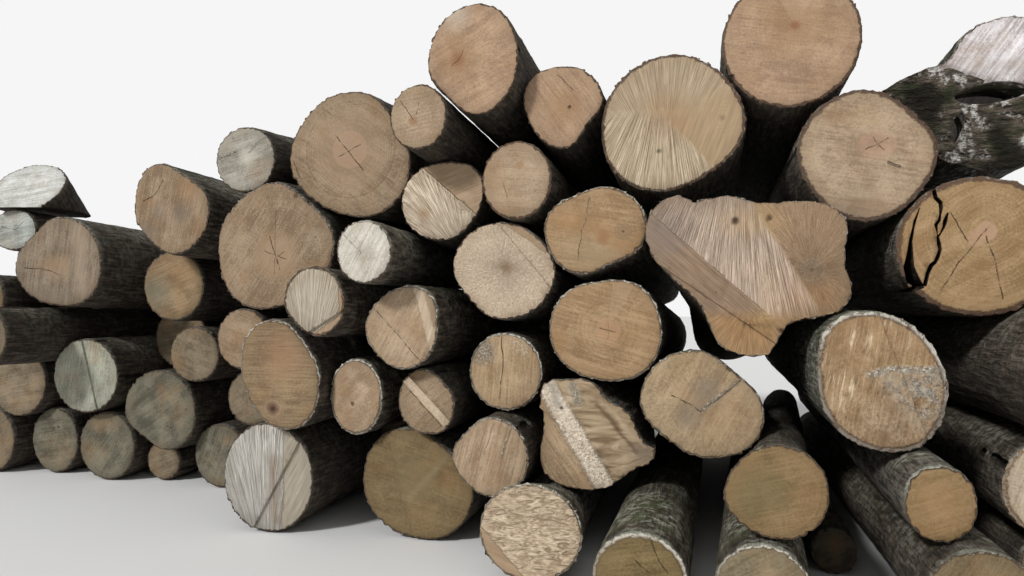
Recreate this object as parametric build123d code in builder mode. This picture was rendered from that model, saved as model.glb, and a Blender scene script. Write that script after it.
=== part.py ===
"""A stack of hardwood logs, rebuilt as it lies.

Every log is one solid. The logs are put down one after another, from the ground up:
each one sinks until it touches what lies under it, and may roll a little to either
side into the nearest hollow, as far as the friction of its bark lets it. The last
piece, log_01, is a short one that leans back on the log under it.
Lengths are millimetres. X runs along the stack, Y from its front to its back, Z up.
"""
from build123d import *
from dataclasses import dataclass, field
import math
import os

import numpy as np

# Driving dimensions
LOG_LENGTH = 4100          # the length that the logs were cross-cut to
TAPER = 5                  # what a log's diameter loses with each metre of length
REST_GAP = 0.5             # air between two logs that touch
FRICTION_TRAVEL = 12       # a log on a slope of 1 in 1 rolls this far before its bark holds it
BUMP_HALF_WIDTH = 52       # degrees to either side over which a bump fades out
STEP = 14                  # height of the ledge where two saw cuts across an end don't meet
CRACK_DEPTH = 450          # how far a split runs back from a log's front end
HOLLOW_DEPTH = 300         # how deep a log's front end is rotted out
BEYOND = 2000              # reaches past any log's outline
SIDES = 36                 # flats that make up a log's outline
PLANE_GAP = 120            # largest distance between two planes where contact is looked for
ROLL_STEPS = (16, 4, 1, 0.25)


@dataclass
class Log:
    """One log: its size across the front end, and where it is put down."""
    name: str
    width: float
    height: float
    across: float                  # its middle, from the middle of the stack
    front: float = 0               # its front end, behind the common line of the front ends
    turn: float = 0                # its back end lies this much further right than its front end
    bumps: tuple = ()              # (degrees from the right, swelling) pairs on its outline
    lift: float = 0                # its crook holds its front end this much higher
    length: float = LOG_LENGTH
    neck: tuple = None             # behind a flared butt: share of its size, how far back, how low
    outline: tuple = None          # a lobed butt's outline, point by point
    ledges: tuple = ()             # (degrees, distance from the middle) of ledges on its front end
    breaks: tuple = ()             # (degrees, distance, slope) where its front end is broken back
    cracks: tuple = ()             # splits in its front end, as (x, z, width) points
    hollows: tuple = ()            # (x, z, width, height) of hollows in its front end
    bundle: str = ""               # the hidden logs of a bundle are kept as one piece
    sections: list = field(default_factory=list)


def bump_at(angle, bumps):
    """Height of all bumps together at an angle, in degrees."""
    total = 0.0
    for centre, swelling in bumps:
        off = abs((angle - centre + 180) % 360 - 180)
        if off < BUMP_HALF_WIDTH:
            total += swelling * 0.5 * (1 + math.cos(math.pi * off / BUMP_HALF_WIDTH))
    return total


def round_outline(width, height, bumps):
    """Points of an oval with bumps, turning left from its right-hand side."""
    points = []
    for k in range(SIDES):
        angle = 360 * k / SIDES
        c, s = math.cos(math.radians(angle)), math.sin(math.radians(angle))
        radius = 1 / math.hypot(c / (width / 2), s / (height / 2)) + bump_at(angle, bumps)
        points.append((radius * c, radius * s))
    return np.array(points)


def lobed_outline(points):
    """Evenly spaced points of the smooth closed curve through an outline's points."""
    curve = Edge.make_spline([Vector(x, z) for x, z in points], periodic=True)
    places = [curve.position_at(k / SIDES) for k in range(SIDES)]
    return np.array([(p.X, p.Y) for p in places])


def log_sections(log):
    """The outlines of a log as (distance from its front end, points) pairs, front to back."""
    oval = round_outline(log.width, log.height, log.bumps)
    front = lobed_outline(log.outline) if log.outline else oval
    stem, stem_from = front, 0
    if log.neck:
        share, stem_from, drop = log.neck
        stem = share * oval - (0, drop)
    shrink = 1 - TAPER * (log.length - stem_from) / 1000 / log.width
    ends = [(0, front)] if log.neck else []
    return ends + [(stem_from, stem), (log.length, shrink * stem)]


def upper_line(points):
    """The height of a closed outline's top side over each of its own points, left to right."""
    xs = np.unique(points[:, 0])
    x0, z0 = points[:, 0], points[:, 1]
    x1, z1 = np.roll(x0, -1), np.roll(z0, -1)
    left, right = np.minimum(x0, x1)[:, None], np.maximum(x0, x1)[:, None]
    share = (xs - x0[:, None]) / np.where(x1 == x0, 1, x1 - x0)[:, None]
    height = z0[:, None] + share * (z1 - z0)[:, None]
    height = np.where((xs >= left) & (xs <= right), height, -np.inf)
    return xs, height.max(axis=0)


def grown(points, gap):
    """An outline pushed outwards by a gap."""
    step = np.roll(points, -1, axis=0) - np.roll(points, 1, axis=0)
    length = np.hypot(step[:, 0], step[:, 1])[:, None]
    return points + gap * np.column_stack((step[:, 1], -step[:, 0])) / length


def outline_at(log, y):
    """A log's outline where a plane across the stack cuts it, about its own axis."""
    depth = y - log.front
    for (d0, p0), (d1, p1) in zip(log.sections, log.sections[1:]):
        if depth <= d1 + 1e-6:
            share = (depth - d0) / (d1 - d0)
            return p0 + share * (p1 - p0)
    return log.sections[-1][1]


def drop(lower, others, shift):
    """How high a log's axis must lie in one plane to clear the logs that are down already."""
    xs, low = lower
    xs = xs + shift
    need = -low.min()
    for ox, otop in others:
        if ox[-1] <= xs[0] or ox[0] >= xs[-1]:
            continue
        inside = (xs >= ox[0]) & (xs <= ox[-1])
        if inside.any():
            need = max(need, (np.interp(xs[inside], ox, otop) - low[inside]).max())
        inside = (ox >= xs[0]) & (ox <= xs[-1])
        if inside.any():
            need = max(need, (otop[inside] - np.interp(ox[inside], xs, low)).max())
    return need


def rest_line(ys, needs, lift):
    """The lowest straight line on or over all needs, its front end lifted by so much."""
    hull = []
    for point in zip(ys, needs):
        while len(hull) > 1:
            (ya, na), (yb, nb) = hull[-2], hull[-1]
            if (nb - na) * (point[0] - ya) > (point[1] - na) * (yb - ya):
                break
            hull.pop()
        hull.append(point)
    middle = (ys[0] + ys[-1]) / 2
    for (ya, na), (yb, nb) in zip(hull, hull[1:]):
        if yb >= middle:
            slope = (nb - na) / (yb - ya) - lift / (ys[-1] - ys[0])
            start = max(n - slope * (y - ys[0]) for y, n in zip(ys, needs))
            return start, start + slope * (ys[-1] - ys[0])
    return needs[0], needs[-1]


def put_down(log, planes, lying):
    """Find where a log comes to rest: its two ends' places across the stack and heights."""
    own = [y for y in planes if log.front - 1e-6 <= y <= log.front + log.length + 1e-6]
    lowers = []
    for y in own:
        points = outline_at(log, y)
        xs, under = upper_line(points * (1, -1))
        lowers.append((xs, -under))

    def rest(front_x, back_x, every=1):
        ys = own[::every] if own[::every][-1] == own[-1] else own[::every] + [own[-1]]
        needs = []
        for y in ys:
            share = (y - log.front) / log.length
            needs.append(drop(lowers[own.index(y)], lying[y], front_x + share * (back_x - front_x)))
        return rest_line(ys, needs, log.lift)

    start = (log.across, log.across + log.turn)

    def cost(place):
        front_z, back_z = rest(*place, every=3)
        moved = (place[0] - start[0]) ** 2 + (place[1] - start[1]) ** 2
        return (front_z + back_z) / 2 + moved / (4 * FRICTION_TRAVEL)

    place, best = start, cost(start)
    for step in ROLL_STEPS:
        moved = True
        while moved:
            moved = False
            for front_move, back_move in ((1, 1), (-1, -1), (1, 0), (-1, 0), (0, 1), (0, -1)):
                trial = (place[0] + step * front_move, place[1] + step * back_move)
                trial_cost = cost(trial)
                if trial_cost < best - 1e-6:
                    place, best, moved = trial, trial_cost, True
                    break
    front_z, back_z = rest(*place)
    for y in own:
        share = (y - log.front) / log.length
        centre = (place[0] + share * (place[1] - place[0]), front_z + share * (back_z - front_z))
        lying[y].append(upper_line(grown(outline_at(log, y), REST_GAP) + centre))
    return place[0], place[1], front_z, back_z


# The short piece that leans on the pile
LEANING_DIAMETER = 590
LEANING_PLACE = (-3379, 800)   # the middle of its upper end, across and front to back
LEANING_RISE = 175             # the middle of its upper end above the log that it lies on
LEANING_BACK = 40.5            # degrees that its axis falls towards the back
LEANING_HEADING = -13          # degrees that its axis turns to the right on the way back

# The logs, from the ground up
FLARE_OUTLINE = (
    (480, -70), (445, 90), (460, 235), (210, 345), (25, 340), (-170, 380), (-255, 345), (-320, 385),
    (-520, 255), (-490, 85), (-310, -110), (-235, -195), (-150, -390), (0, -440), (75, -445),
    (190, -270), (345, -240), (470, -160),
)
LOBED_OUTLINE = (
    (325, -65), (255, -15), (165, 145), (65, 195), (20, 255), (-60, 308), (-160, 300), (-250, 298),
    (-310, 225), (-292, 90), (-302, -40), (-312, -160), (-270, -240), (-130, -300), (10, -302),
    (110, -260), (235, -165), (305, -130),
)
STUMP_OUTLINE = (
    (326, 127), (223, 301), (97, 370), (-9, 385), (-139, 348), (-227, 268), (-258, 187), (-338, 168),
    (-451, 137), (-538, 93), (-473, 14), (-360, -43), (-284, -122), (-249, -222), (-139, -276),
    (12, -322), (181, -292), (306, -109),
)
BARK_SPLIT = (
    (-257, 190, 4), (-279, 125, 14), (-284, 100, 12), (-297, 30, 18), (-300, -31, 30),
    (-305, -95, 50), (-290, -150, 60), (-262, -210, 60),
)
UPPER_SPLIT = (
    (-195, 285, 18), (-188, 237, 22), (-166, 212, 22), (-164, 188, 20), (-167, 156, 12),
    (-171, 128, 16), (-186, 106, 18), (-180, 64, 6), (-178, 40, 6),
)
LOWER_SPLIT = (
    (-134, 163, 8), (-146, 123, 22), (-152, 95, 14), (-164, 67, 8), (-178, 48, 14), (-173, 16, 20),
    (-168, -13, 18), (-178, -49, 20), (-190, -75, 18), (-206, -88, 22), (-221, -124, 20),
    (-236, -190, 20),
)
LOGS = [
    Log("log_49", 540, 500, 1040, -500, neck=(0.78, 450, 55)),
    Log("log_50", 420, 415, 1610, -900, 60),
    Log("log_51", 400, 405, 2110, -900, 200),
    Log("log_52", 430, 415, 2950, -800, -100),
    Log("log_55", 280, 265, 3480),
    Log("log_34", 710, 640, 250, bumps=((125, 30), (45, -50), (305, 20)), ledges=((200, 120),)),
    Log("log_35", 610, 670, -670, -100, ledges=((330, 70),)),
    Log("log_37", 450, 485, -1625, 800),
    Log("log_57", 310, 310, -2200, 900),
    Log("log_42", 520, 540, -2630, 800),
    Log("log_41", 460, 540, -3220, 900),
    Log("log_58", 480, 540, -3752, 800),
    Log("log_59", 305, 305, -210, 900),
    Log("log_60", 470, 470, -1210, 900),
    Log("log_61", 235, 235, 2515, length=1400, bundle="log_59"),
    Log("log_47", 290, 330, 2825, -700),
    Log("log_33", 455, 450, 755, -200, bumps=((135, -30), (225, -20)), ledges=((150, 40),)),
    Log("log_46", 410, 410, 2175, -850, 350, bumps=((190, 25),), neck=(0.72, 500, 0)),
    Log("log_43", 560, 560, -3480, 800),
    Log("log_38", 630, 615, -2055, 700, bumps=((235, -60), (320, 15))),
    Log("log_36", 360, 365, -946, 150),
    Log("log_48", 500, 500, 3480, -100),
    Log("log_32", 640, 620, 1300, -100, outline=LOBED_OUTLINE, neck=(0.8, 900, 0), ledges=((230, 90),)),
    Log("log_26", 345, 460, -95, -100),
    Log("log_24", 530, 650, -530, -200, bumps=((130, 30), (50, -40), (308, 30), (225, -25))),
    Log("log_27", 355, 390, 335, -100, bumps=((50, -30), (310, 15)), ledges=((45, 30), (225, 20))),
    Log("log_40", 600, 580, -2740, 700, ledges=((15, 40),)),
    Log("log_31", 640, 565, 1860, -100, bumps=((42, -50), (322, 30), (225, -40), (120, 15))),
    Log("log_39", 430, 420, -1780, 700),
    Log("log_45", 565, 630, 2665, -400, bumps=((128, 50), (302, 25), (40, -20)), ledges=((20, 90),)),
    Log("log_28", 445, 455, 780, ledges=((190, 60),)),
    Log("log_44", 460, 440, -3160, 200),
    Log("log_56", 500, 500, -2276, 1200),
    Log("log_23", 380, 400, -920, 100),
    Log("log_53", 650, 650, 3500, -700),
    Log("log_29", 620, 540, 1370, -100, bumps=((55, 30), (310, 20), (130, 15))),
    Log("log_25", 460, 470, 230, -200, bumps=((53, 40), (135, -20), (222, -20)), ledges=((230, 20),)),
    Log("log_21", 390, 410, -265, -300, bumps=((230, -25),), ledges=((300, 130),), lift=80),
    Log("log_22", 530, 530, -1960, 700),
    Log("log_20", 625, 570, 765, bumps=((215, -40), (40, -20)), ledges=((40, 150),), lift=60),
    Log("log_30", 1020, 830, 2110, -200, outline=FLARE_OUTLINE, neck=(0.64, 1000, 0),
        ledges=((235, 230),)),
    Log("log_16", 335, 355, 95, -400, -400, lift=40),
    Log("log_14", 745, 680, 3150, -100, cracks=(BARK_SPLIT, UPPER_SPLIT, LOWER_SPLIT)),
    Log("log_54", 320, 380, -3430, 500),
    Log("log_03", 800, 690, -2900, 600, bumps=((140, -60), (315, 40), (195, 20)), lift=60),
    Log("log_06", 835, 800, -740, 100, bumps=((235, 55), (48, -60), (130, -25))),
    Log("log_19", 575, 490, 1310, -100, bumps=((118, -30), (300, -35), (240, 20))),
    Log("log_17", 515, 475, 380, 50, bumps=((40, 35), (330, -20)), ledges=((50, 60),), lift=50),
    Log("log_18", 413, 450, 855, -50),
    Log("log_04", 625, 630, -1740, 400, bumps=((122, 55), (60, -45), (228, -40))),
    Log("log_13", 675, 670, 2660, -100, bumps=((45, -40), (210, -25), (325, -20))),
    Log("log_07", 855, 765, -210, 100, bumps=((305, 45), (152, -30), (225, -25), (25, -60))),
    Log("log_05", 445, 435, -990, 170),
    Log("log_08", 350, 375, 335, -200, 60),
    Log("log_11", 775, 755, 1700, bumps=((305, -35), (225, 25), (40, -20)), lift=50),
    Log("log_10", 470, 480, 1110, 50, bumps=((140, 30), (322, -60), (215, -20)), lift=50),
    Log("log_02", 440, 340, -3400, 700, lift=50),
    Log("log_15", 860, 710, 3290, outline=STUMP_OUTLINE, lift=60,
        breaks=((245, -40, 40),), hollows=((-60, 20, 300, 90), (-170, -115, 55, 130))),
    Log("log_09", 545, 640, 605, -100, bumps=((235, -50), (62, 15))),
    Log("log_12", 700, 715, 2290),
]


def contact_planes(logs):
    """Planes across the stack: one at every log's end, and more where they lie far apart."""
    ends = sorted({log.front + d for log in logs for d, points in log.sections})
    planes = [ends[0]]
    for y in ends[1:]:
        parts = math.ceil((y - planes[-1]) / PLANE_GAP)
        start = planes[-1]
        planes += [start + (y - start) * (k + 1) / parts for k in range(parts)]
    return planes


def end_plane(y):
    """The upright plane across the stack at a depth."""
    return Plane(origin=(0, y, 0), x_dir=(1, 0, 0), z_dir=(0, -1, 0))


def crack_outline(points):
    """The closed outline of a crack that follows points, each with its width there."""
    middle, width = np.array(points)[:, :2], np.array(points)[:, 2:]
    way = np.gradient(middle, axis=0)
    across = way[:, ::-1] * (1, -1) / np.hypot(way[:, 0], way[:, 1])[:, None]
    return np.vstack((middle + across * width / 2, (middle - across * width / 2)[::-1]))


def build_log(log, place, shift):
    """One log as a solid, run straight from outline to outline, with its front end's damage cut."""
    front_x, back_x, front_z, back_z = place
    face = end_plane(log.front + shift[1])
    with BuildPart() as piece:
        for depth, points in log.sections:
            share = depth / log.length
            x = front_x + share * (back_x - front_x) + shift[0]
            z = front_z + share * (back_z - front_z)
            with BuildSketch(end_plane(log.front + depth + shift[1])):
                with BuildLine():
                    Polyline(*[(x + px, z + pz) for px, pz in points], close=True)
                make_face()
        loft(ruled=True)
        middle = Location((front_x + shift[0], front_z, 0))
        for angle, distance in log.ledges:
            with BuildSketch(face):
                with Locations(middle * Location((0, 0, 0), (0, 0, angle))):
                    with Locations((distance, 0)):
                        Rectangle(BEYOND, BEYOND, align=(Align.MIN, Align.CENTER))
            extrude(amount=-STEP, mode=Mode.SUBTRACT)
        for crack in log.cracks:
            with BuildSketch(face):
                with BuildLine():
                    outline = crack_outline(crack) + (front_x + shift[0], front_z)
                    Polyline(*[(x, z) for x, z in outline], close=True)
                make_face()
            extrude(amount=-CRACK_DEPTH, mode=Mode.SUBTRACT)
        for x, z, width, height in log.hollows:
            with BuildSketch(face):
                with Locations(middle * Location((x, z, 0))):
                    Ellipse(width / 2, height / 2)
            extrude(amount=-HOLLOW_DEPTH, mode=Mode.SUBTRACT)
        for angle, distance, slope in log.breaks:
            way = Vector(math.cos(math.radians(angle)), 0, math.sin(math.radians(angle)))
            edge = Vector(front_x + shift[0], log.front + shift[1], front_z) + way * distance
            out = way * math.sin(math.radians(slope)) - Vector(0, math.cos(math.radians(slope)), 0)
            split(bisect_by=Plane(origin=edge, z_dir=out), keep=Keep.BOTTOM)
    return piece


def leaning_piece(shift):
    """A short piece that leans back on a sloping cut, over the highest log in its reach."""
    x, y = LEANING_PLACE
    reach = LEANING_DIAMETER / 2
    crowns = [
        top[(xs > x - reach) & (xs < x + reach)].max(initial=0)
        for at, tops in lying.items() if abs(at - y) < reach
        for xs, top in tops
    ]
    seat = max(crowns)
    lean, heading = math.radians(LEANING_BACK), math.radians(LEANING_HEADING)
    down_axis = Vector(
        math.sin(heading) * math.cos(lean), math.cos(heading) * math.cos(lean), -math.sin(lean)
    )
    upper_end = Vector(x + shift[0], y + shift[1], seat + LEANING_RISE)
    with BuildPart() as piece:
        with Locations(Plane(origin=upper_end, z_dir=down_axis)):
            Cylinder(LEANING_DIAMETER / 2, BEYOND, align=(Align.CENTER, Align.CENTER, Align.MIN))
        split(bisect_by=Plane(origin=(0, 0, seat)), keep=Keep.TOP)
    return piece


for log in LOGS:
    log.sections = log_sections(log)
planes = contact_planes(LOGS)
lying = {y: [] for y in planes}
places = {log.name: put_down(log, planes, lying) for log in LOGS}

left = min(xs[0] for tops in lying.values() for xs, top in tops) + REST_GAP
right = max(xs[-1] for tops in lying.values() for xs, top in tops) - REST_GAP
shift = (-(left + right) / 2, -(planes[0] + planes[-1]) / 2)

bundles = {"log_01": [leaning_piece(shift).part]}
for log in LOGS:
    piece = build_log(log, places[log.name], shift)
    bundles.setdefault(log.bundle or log.name, []).append(piece.part)

os.makedirs("parts", exist_ok=True)
for name, parts in bundles.items():
    part = parts[0] if len(parts) == 1 else Compound(children=parts)
    part.label = name
    export_step(part, f"parts/{name}.step")
print(f"stack {right - left:.0f} wide, front to back {planes[-1] - planes[0]:.0f}")
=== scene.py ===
import math

import bmesh
import bpy
from mathutils import Matrix, Vector, noise
from mathutils.bvhtree import BVHTree


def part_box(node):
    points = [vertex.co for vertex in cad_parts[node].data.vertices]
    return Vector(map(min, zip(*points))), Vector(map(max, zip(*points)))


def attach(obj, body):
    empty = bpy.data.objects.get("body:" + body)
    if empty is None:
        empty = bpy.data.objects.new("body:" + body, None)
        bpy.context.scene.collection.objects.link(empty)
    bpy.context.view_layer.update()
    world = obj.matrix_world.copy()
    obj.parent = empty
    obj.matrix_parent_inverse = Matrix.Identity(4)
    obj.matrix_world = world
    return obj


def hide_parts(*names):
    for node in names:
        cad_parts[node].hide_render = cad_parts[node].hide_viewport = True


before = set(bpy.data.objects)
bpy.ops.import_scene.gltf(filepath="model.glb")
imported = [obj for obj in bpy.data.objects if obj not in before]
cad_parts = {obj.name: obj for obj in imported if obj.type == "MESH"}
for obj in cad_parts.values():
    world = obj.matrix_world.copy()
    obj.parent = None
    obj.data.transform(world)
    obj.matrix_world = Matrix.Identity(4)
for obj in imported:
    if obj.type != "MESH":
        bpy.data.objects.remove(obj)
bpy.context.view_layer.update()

# The logs' bark
# Beech and oak bark, grey-brown and furrowed lengthwise, still on nearly every log. It is pale
# and crumbling where the saw tore it round the ends, and mossy on the sides that face the sky.
BARK_DARK = (0.030, 0.025, 0.021)
BARK_BROWN = (0.115, 0.088, 0.064)
BARK_GREY = (0.24, 0.215, 0.175)
LICHEN = (0.50, 0.52, 0.43)
MOSS = (0.085, 0.098, 0.045)


class Shader:
    """A material under construction: each call adds a node and gives its output."""

    def __init__(self, name):
        self.material = bpy.data.materials.new(name)
        self.material.use_nodes = True
        self.tree = self.material.node_tree
        self.surface = self.tree.nodes["Principled BSDF"]

    def add(self, kind, *values, out=0, **settings):
        node = self.tree.nodes.new("ShaderNode" + kind)
        for setting, value in settings.items():
            setattr(node, setting, value)
        for socket, value in zip(node.inputs, values):
            self.fill(socket, value)
        return node.outputs[out]

    def fill(self, socket, value):
        if isinstance(value, bpy.types.NodeSocket):
            self.tree.links.new(value, socket)
        elif value is not None:
            socket.default_value = value

    def math(self, operation, a, b=None, c=None):
        return self.add("Math", a, b, c, operation=operation)

    def vector(self, operation, a, b=None, out=0):
        return self.add("VectorMath", a, b, operation=operation, out=out)

    def moved(self, vector, offset=(0, 0, 0), turned=(0, 0, 0), scale=(1, 1, 1), kind="POINT"):
        return self.add("Mapping", vector, offset, turned, scale, vector_type=kind)

    def noise(self, vector, scale, detail=3, roughness=0.55, distortion=0.0, out=0):
        node = self.add("TexNoise", vector, None, scale, detail, roughness).node
        node.inputs["Distortion"].default_value = distortion
        return node.outputs[out]

    def ranged(self, value, low, high, to_low=0.0, to_high=1.0, smooth=False):
        kind = "SMOOTHSTEP" if smooth else "LINEAR"
        return self.add("MapRange", value, low, high, to_low, to_high, interpolation_type=kind)

    def both(self, a, b):
        return self.math("MULTIPLY", a, b)

    def blend(self, share, a, b):
        node = self.tree.nodes.new("ShaderNodeMix")
        node.data_type = "RGBA"
        for socket, value in ((node.inputs[0], share), (node.inputs[6], a), (node.inputs[7], b)):
            self.fill(socket, (*value, 1) if isinstance(value, tuple) else value)
        return node.outputs[2]

    def finish(self, colour, height, depth, roughness=0.85):
        bump = self.add("Bump", 1.0, depth)
        self.fill(bump.node.inputs["Height"], height)
        self.fill(self.surface.inputs["Base Color"], colour)
        self.fill(self.surface.inputs["Normal"], bump)
        self.surface.inputs["Roughness"].default_value = roughness
        self.surface.inputs["Specular IOR Level"].default_value = 0.2
        return self.material


def bark(name, brown=BARK_BROWN, grey=BARK_GREY, moss=0.3, lichen=0.4, tip=0.6, furrows=1.0):
    """Furrowed bark: moss and lichen grow where it faces up, and its torn tip is pale, paler on its
    upper side as a painted highlight.
    """
    s = Shader(name)
    grain = s.add("Attribute", out=1, attribute_name="grain")
    back = s.add("SeparateXYZ", grain, out=1)
    up = s.add("SeparateXYZ", s.add("NewGeometry", out=1), out=2)
    plates = s.noise(s.moved(grain, scale=(1, 0.13, 1)), 52, 4, 0.62, 0.5)
    cross = s.noise(s.moved(grain, scale=(0.6, 1, 0.6)), 30, 3, 0.6)
    fine = s.noise(s.moved(grain, scale=(1, 0.35, 1)), 150, 3, 0.6)
    patches = s.noise(grain, 2.6, 3, 0.55)
    ridge = s.math("MULTIPLY_ADD", s.math("SUBTRACT", cross, 0.5), 0.45, plates)
    colour = s.blend(s.ranged(ridge, 0.40, 0.56), BARK_DARK, brown)
    colour = s.blend(s.ranged(ridge, 0.52, 0.74), colour, grey)
    colour = s.blend(s.ranged(fine, 0.35, 0.7, 0.0, 0.4), colour, BARK_DARK)
    colour = s.blend(s.ranged(patches, 0.35, 0.7, 0.0, 0.35), colour, brown)
    spots = s.noise(grain, 24, 4, 0.65)
    crust = s.both(s.ranged(spots, 0.47, 0.6), s.ranged(patches, 0.42, 0.6))
    crust = s.both(crust, s.ranged(up, -0.2, 0.7, 0.15, 1.0))
    colour = s.blend(s.both(crust, lichen), colour, LICHEN)
    cushion = s.both(s.ranged(s.noise(grain, 7, 4, 0.7), 0.45, 0.62), s.ranged(up, 0.1, 0.8))
    colour = s.blend(s.both(cushion, moss), colour, MOSS)
    crumbs_and_highlight = s.ranged(s.math("MULTIPLY_ADD", spots, 0.09, back), 0.045, 0.085, 1.0, 0.0)
    # Pale torn bark at the tip, made paler where it faces up: partly crumbling bark, partly a painted
    # highlight on the lit tops.
    crumbs_and_highlight = s.both(crumbs_and_highlight, s.ranged(up, -0.1, 0.5, 0.15, 1.0))
    colour = s.blend(s.both(crumbs_and_highlight, tip), colour, LICHEN)
    height = s.math("MULTIPLY_ADD", fine, 0.25, ridge)
    return s.finish(colour, height, 0.028 * furrows, 0.92)


# The logs' wood, cut up
# Each log as it lies in the pile, cut up finely enough for its furrows and for the edge that
# the saw tore. Its plain solid gives its outline, its ledges and its splits.
CELL = 0.04                 # the log's ends and flanks are cut up about this small
NEAR_RINGS, NEAR_STEP = 28, 0.022       # close rings behind the sawn end, wider ones after them
MIDDLE_RINGS, MIDDLE_STEP = 14, 0.07
FAR_RINGS = 14
BACK_BAND, BACK_RING, BACK_GAP = 0.03, 0.012, 0.010     # distances of rings from the back end
FACE_CUTS = 2               # each edge of a sawn face is cut this many times more
FURROW = 0.009              # depth of the furrows
FURROWS_ACROSS, FURROWS_ALONG = 26, 7   # furrows to a metre across a log and along it
RAGGED = 0.018              # how far back the saw has torn the bark round an end
TORN_BAND = 0.03            # the tear reaches this far in from the bark
TORN_BACK = 0.02            # and this far back from the end
TEARS, CHIPS = 17, 48       # tears and chips to a metre of the edge
CHIP = 0.010                # the saw has chipped the bark's outside this deep at the end
SWELLS, RIDGES = 9, 34      # swells of a sawn face to a metre, along the saw's way and across
LEDGE = 0.03                # steps between saw cuts are lower than this
STEEPEST_FLANK, BROKEN = 0.5, 0.95      # how far the parts of a log turn towards its ends
ON_FLANK = 2e-4             # what lies nearer to the flank than this is part of it
BACK_END, WELD, FLAT = 0.002, 1e-5, math.radians(0.2)   # within these, points and faces are one
BARK, WOOD, ROT_AND_SHADE = 0, 1, 2   # order of a log's materials
# Near-black tones of the walls of splits and hollows: partly rotten wood, partly painted shade in the
# crevices.
SHADED_ROT_DARK, SHADED_ROT_PALE = (0.012, 0.009, 0.007), (0.10, 0.065, 0.04)


def shear_of(bm, damage):
    """The shear that puts a log's axis straight along Y through the origin."""
    front = min(v.co.y for v in bm.verts)
    back = max(v.co.y for v in bm.verts)
    ends = []
    for y, depth in ((front, damage), (back, BACK_END)):
        end = [v.co for v in bm.verts if abs(v.co.y - y) < depth]
        middle = [(min(c[axis] for c in end) + max(c[axis] for c in end)) / 2 for axis in (0, 2)]
        ends.append(Vector((middle[0], y, middle[1])))
    slope = (ends[1] - ends[0]) / (back - front)
    shear = Matrix.Identity(4)
    shear[0][1], shear[2][1] = -slope.x, -slope.z
    return Matrix.Translation(-(shear @ ends[0])) @ shear


def solids_of(name):
    """A mesh for each solid in a node, with its flat faces whole."""
    whole = bmesh.new()
    whole.from_mesh(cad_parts[name].data)
    bmesh.ops.remove_doubles(whole, verts=whole.verts, dist=WELD)
    seen = set()
    for start in list(whole.faces):
        if start.index in seen:
            continue
        group, edge = {start.index}, [start]
        while edge:
            near = {f for e in edge.pop().edges for f in e.link_faces if f.index not in group}
            group |= {f.index for f in near}
            edge += near
        seen |= group
        bm = whole.copy()
        others = [f for f in bm.faces if f.index not in group]
        bmesh.ops.delete(bm, geom=others, context="FACES")
        bmesh.ops.dissolve_limit(bm, angle_limit=FLAT, verts=bm.verts, edges=bm.edges)
        yield bm
    whole.free()


def sliced(bm, axis, places):
    """Cut a mesh through with planes across an axis."""
    across = Vector((0, 0, 0))
    across[axis] = 1
    for place in places:
        bmesh.ops.bisect_plane(bm, geom=bm.verts[:] + bm.edges[:] + bm.faces[:], dist=WELD,
                               plane_co=across * place, plane_no=across)


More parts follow.
